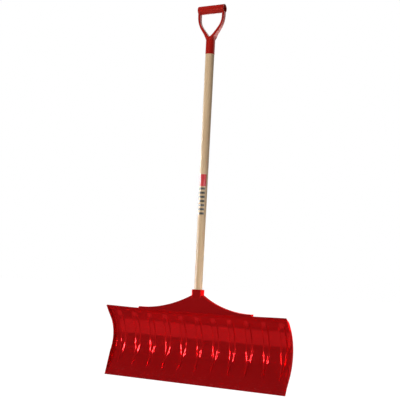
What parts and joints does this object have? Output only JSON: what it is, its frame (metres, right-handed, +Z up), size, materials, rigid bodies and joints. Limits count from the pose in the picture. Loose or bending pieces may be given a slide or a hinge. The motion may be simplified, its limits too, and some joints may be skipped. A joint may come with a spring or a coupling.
{
  "type": "snow pusher shovel",
  "caption": "Wide ribbed plastic snow pusher scoop on a round wooden handle with a moulded D grip.",
  "frame": {"origin": "centre of the bottom of the object's box: on the floor, under the middle of the lip's width", "axes": "+Z up the handle, +X along the blade to the user's right as seen from the front, +Y backwards, away from the scoop's hollow"},
  "size_m": [0.762, 0.092, 1.4732],
  "materials": {
    "blade_plastic": "moulded, glossy red polyethylene",
    "handle_wood": "turned hardwood with a thin clear varnish",
    "grip_plastic": "moulded red plastic, satin",
    "screw_steel": "zinc plated",
    "band_film": "plain red printed film",
    "stripe_film": "plain black printed film"
  },
  "bodies": {
    "root": {"blade": "blade_plastic", "handle": "handle_wood", "d_grip": "grip_plastic", "socket_screw": "screw_steel", "grip_screw": "screw_steel", "red_band": "band_film", "black_stripes": "stripe_film"}
  },
  "joints": []
}
